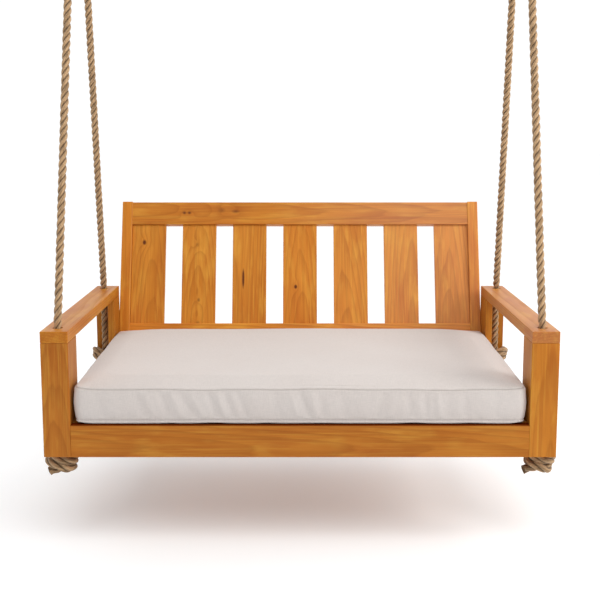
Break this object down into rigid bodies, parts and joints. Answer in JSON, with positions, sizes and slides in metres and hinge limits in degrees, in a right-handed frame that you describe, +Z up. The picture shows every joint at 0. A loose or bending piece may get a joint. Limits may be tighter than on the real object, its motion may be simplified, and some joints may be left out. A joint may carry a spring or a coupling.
{
  "type": "hanging swing bed",
  "caption": "Timber porch swing bed with two arms, a raked slatted back and a thick seat cushion, hung on four knotted twisted ropes from ceiling hangers.",
  "frame": {"origin": "on the ceiling plane, in the swing's plane of symmetry, straight above the common centre of gravity of the seat and its cushion", "axes": "+Z up, +X along the seat's width to the right as seen from the front, +Y from the seat's front to its back"},
  "size_m": [1.7116, 1.2558, 1.8991],
  "materials": {
    "pine": "satin, honey stained",
    "frame_pine": "satin, honey stained",
    "dowel": "bare",
    "rope": "three-strand twisted fibre",
    "linen": "matte weave",
    "foam": "open foam",
    "zinc_steel": "zinc plated",
    "hanger_steel": "galvanised"
  },
  "bodies": {
    "hangers": {"hanger_front_left": "hanger_steel", "hanger_front_right": "hanger_steel", "hanger_rear_left": "hanger_steel", "hanger_rear_right": "hanger_steel", "hanger_pins": "hanger_steel"},
    "bed": {"front_rail": "pine", "rear_rail": "frame_pine", "side_rail_left": "frame_pine", "side_rail_right": "frame_pine", "mid_beam": "frame_pine", "front_cleat": "frame_pine", "rear_cleat": "frame_pine", "deck_slat_1": "frame_pine", "deck_slat_2": "frame_pine", "deck_slat_3": "frame_pine", "deck_slat_4": "frame_pine", "deck_slat_5": "frame_pine", "deck_slat_6": "frame_pine", "deck_slat_7": "frame_pine", "front_post_left": "pine", "front_post_right": "pine", "armrest_left": "pine", "armrest_right": "pine", "rear_post_left": "pine", "rear_post_right": "pine", "rear_post_back_left": "pine", "rear_post_back_right": "pine", "back_stile_left": "pine", "back_stile_right": "pine", "back_top_rail": "pine", "back_bottom_rail": "pine", "back_slat_1": "pine", "back_slat_2": "pine", "back_slat_3": "pine", "back_slat_4": "pine", "back_slat_5": "pine", "back_slat_6": "pine", "back_slat_7": "pine", "carriage_bolts": "zinc_steel", "bolt_nuts": "zinc_steel", "lag_screws": "zinc_steel", "frame_screws": "zinc_steel", "deck_screws": "zinc_steel", "frame_dowels": "dowel", "rope_end_front_left": "rope", "rope_end_front_right": "rope", "rope_end_rear_left": "rope", "rope_end_rear_right": "rope"},
    "front_ropes": {"rope_front_left": "rope", "rope_front_right": "rope", "front_thimbles": "hanger_steel", "front_seizings": "rope"},
    "rear_ropes": {"rope_rear_left": "rope", "rope_rear_right": "rope", "rear_thimbles": "hanger_steel", "rear_seizings": "rope"},
    "cushion": {"cushion_cover": "linen", "cushion_core": "foam"}
  },
  "joints": [
    {"name": "bed_swing", "type": "hinge", "parent": "hangers", "child": "bed", "pos_m": [0, 0, 0.455], "axis": [1, 0, 0], "range_deg": [-7.15, 7.15]},
    {"name": "front_ropes_swing", "type": "hinge", "parent": "hangers", "child": "front_ropes", "pos_m": [0, -0.14213, -0.08], "axis": [1, 0, 0], "range_deg": [-10.1, 10.1]},
    {"name": "rear_ropes_swing", "type": "hinge", "parent": "hangers", "child": "rear_ropes", "pos_m": [0, 0.11806, -0.08], "axis": [1, 0, 0], "range_deg": [-10.1, 10.1]},
    {"name": "cushion_lift", "type": "slide", "parent": "bed", "child": "cushion", "axis": [0, 0, 1], "range_m": [0, 0.15]}
  ],
  "couplings": [
    {"joint": "front_ropes_swing", "follows": "bed_swing", "ratio": 1.4017},
    {"joint": "rear_ropes_swing", "follows": "bed_swing", "ratio": 1.4017}
  ]
}
